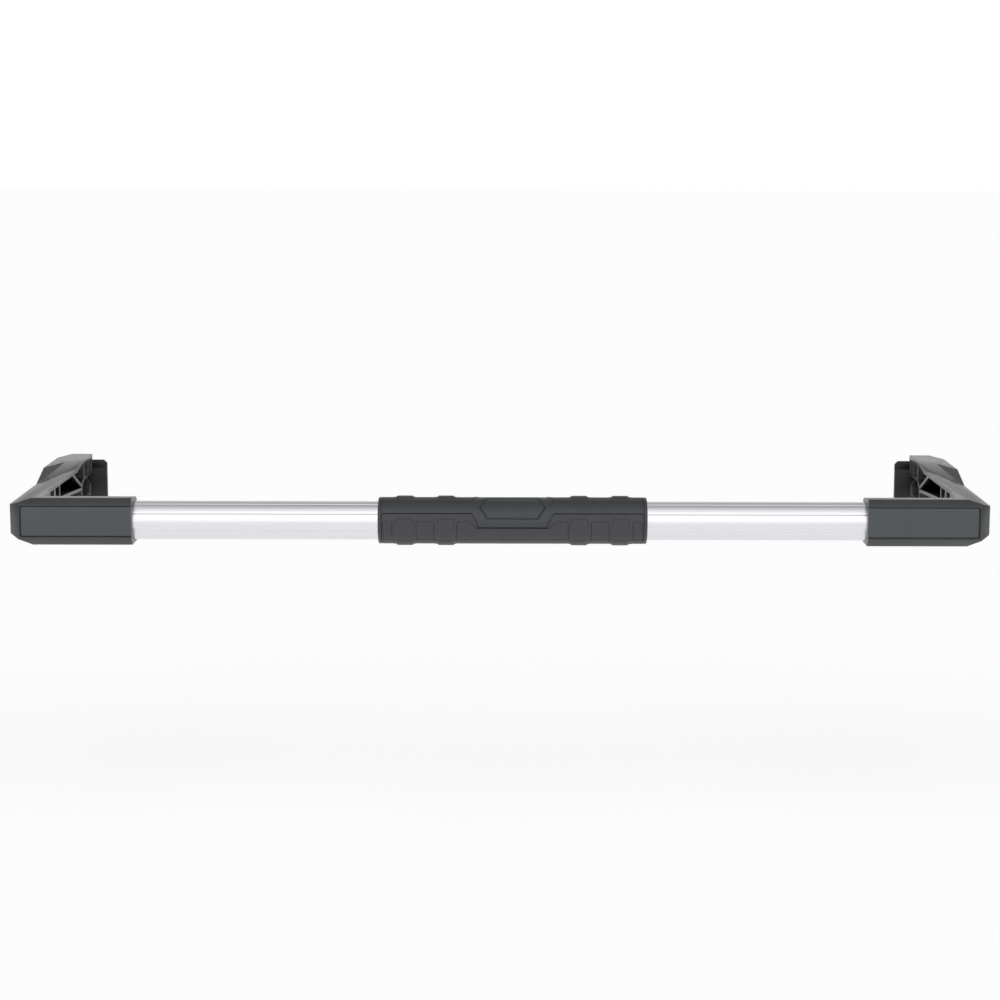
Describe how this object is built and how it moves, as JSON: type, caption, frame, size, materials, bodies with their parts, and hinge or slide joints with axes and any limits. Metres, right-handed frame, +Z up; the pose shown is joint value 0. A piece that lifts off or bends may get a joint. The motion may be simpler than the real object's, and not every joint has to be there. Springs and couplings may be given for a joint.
{
  "type": "swing-up carry bar",
  "caption": "U-shaped carry bar for a tool case: fluted aluminium tube, moulded grip, and ribbed plastic arms that swing up level on pinned wall brackets.",
  "frame": {"origin": "under the middle of the outer box, on the plane that the part lies on", "axes": "+X along the bar to the right, +Y back to the case wall, +Z up with the arms level"},
  "size_m": [0.552, 0.1744, 0.0309],
  "materials": {
    "bar_aluminium": "satin anodised, drawn lengthways",
    "corner_plastic": "fine moulded grain, dark grey",
    "cover_plastic": "smooth satin, dark blue-grey",
    "bracket_plastic": "satin black",
    "grip_plastic": "satin dark grey",
    "grip_rubber": "matt soft grain",
    "bush_plastic": "natural acetal",
    "plug_plastic": "black, unfinished",
    "dark_steel": "black oxide",
    "screw_steel": "zinc plated"
  },
  "bodies": {
    "brackets": {"left_bracket": "bracket_plastic", "right_bracket": "bracket_plastic", "left_pivot_pin": "dark_steel", "right_pivot_pin": "dark_steel", "left_pin_washer": "dark_steel", "right_pin_washer": "dark_steel", "left_pin_clip": "dark_steel", "right_pin_clip": "dark_steel"},
    "bail": {"bar_tube": "bar_aluminium", "left_arm": "corner_plastic", "right_arm": "corner_plastic", "left_pivot_bush": "bush_plastic", "right_pivot_bush": "bush_plastic", "left_corner_cover": "cover_plastic", "right_corner_cover": "cover_plastic", "left_tube_screws": "screw_steel", "right_tube_screws": "screw_steel", "left_tube_plug": "plug_plastic", "right_tube_plug": "plug_plastic", "grip_front_shell": "grip_plastic", "grip_back_shell": "grip_plastic", "grip_badge": "grip_plastic", "grip_upper_pad": "grip_rubber", "grip_lower_pad": "grip_rubber", "grip_back_pad": "grip_rubber", "grip_lock_screws": "dark_steel"}
  },
  "joints": [
    {"name": "bail_swing", "type": "hinge", "parent": "brackets", "child": "bail", "pos_m": [0, 0.0638, 0.0111], "axis": [1, 0, 0], "range_deg": [0, 90]}
  ]
}
